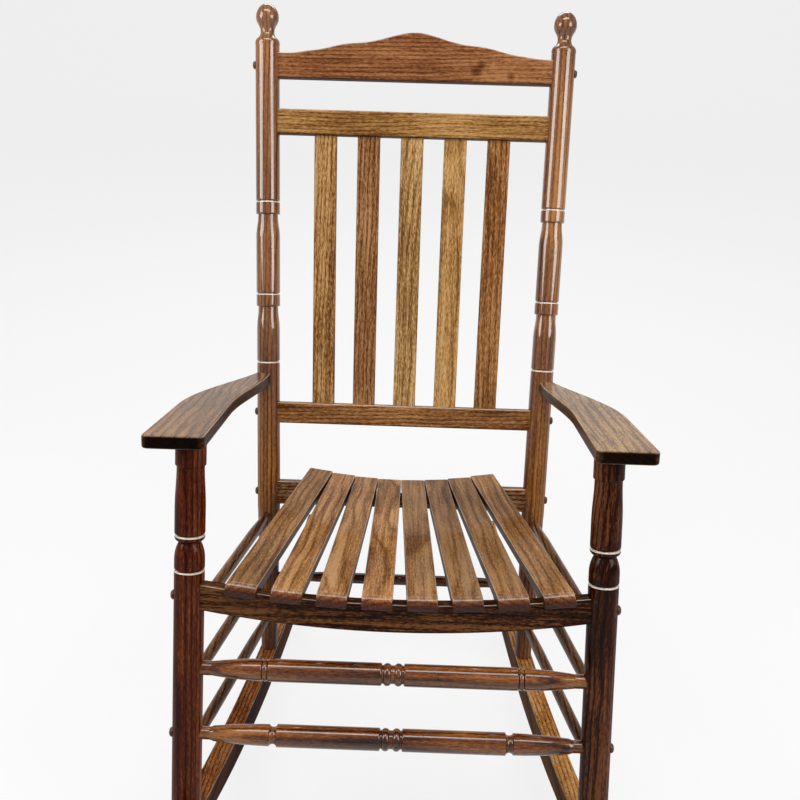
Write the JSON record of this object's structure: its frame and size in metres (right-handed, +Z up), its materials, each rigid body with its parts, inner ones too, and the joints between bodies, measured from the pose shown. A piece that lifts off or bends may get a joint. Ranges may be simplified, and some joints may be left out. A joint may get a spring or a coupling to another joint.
{
  "type": "rocking chair",
  "caption": "Wooden rocking chair with turned posts, legs and stretchers, slatted back, dished and fanned slat seat, flat paddle arms and a wavy crest rail.",
  "frame": {"origin": "middle of the bounding box, on the floor, with the chair at rest on its rockers", "axes": "+X to the right as seen from the front, +Y to the back, +Z up"},
  "size_m": [0.662, 0.8938, 1.107],
  "materials": {
    "frame_wood": "gloss lacquer",
    "front_wood": "gloss lacquer",
    "seat_wood": "gloss lacquer",
    "back_wood": "gloss lacquer",
    "arm_wood": "gloss lacquer",
    "steel": "dark oxide"
  },
  "bodies": {
    "root": {"arm_left": "arm_wood", "arm_right": "arm_wood", "arm_screws": "steel", "back_post_left": "frame_wood", "back_post_right": "frame_wood", "back_slat_1": "back_wood", "back_slat_2": "back_wood", "back_slat_3": "back_wood", "back_slat_4": "back_wood", "back_slat_5": "back_wood", "barrel_nuts": "steel", "crest_rail": "back_wood", "frame_bolts": "steel", "front_leg_left": "front_wood", "front_leg_right": "front_wood", "front_seat_rail": "front_wood", "front_stretcher_lower": "front_wood", "front_stretcher_upper": "front_wood", "lower_back_rail": "back_wood", "rear_seat_rail": "frame_wood", "rear_stretcher": "frame_wood", "rocker_left": "frame_wood", "rocker_right": "frame_wood", "rocker_screws": "steel", "seat_side_rail_left": "frame_wood", "seat_side_rail_right": "frame_wood", "seat_slat_1": "seat_wood", "seat_slat_2": "seat_wood", "seat_slat_3": "seat_wood", "seat_slat_4": "seat_wood", "seat_slat_5": "seat_wood", "seat_slat_6": "seat_wood", "seat_slat_7": "seat_wood", "seat_slat_8": "seat_wood", "side_stretcher_lower_left": "frame_wood", "side_stretcher_lower_right": "frame_wood", "side_stretcher_upper_left": "frame_wood", "side_stretcher_upper_right": "frame_wood", "slat_screws": "steel", "upper_back_rail": "back_wood"}
  },
  "joints": []
}
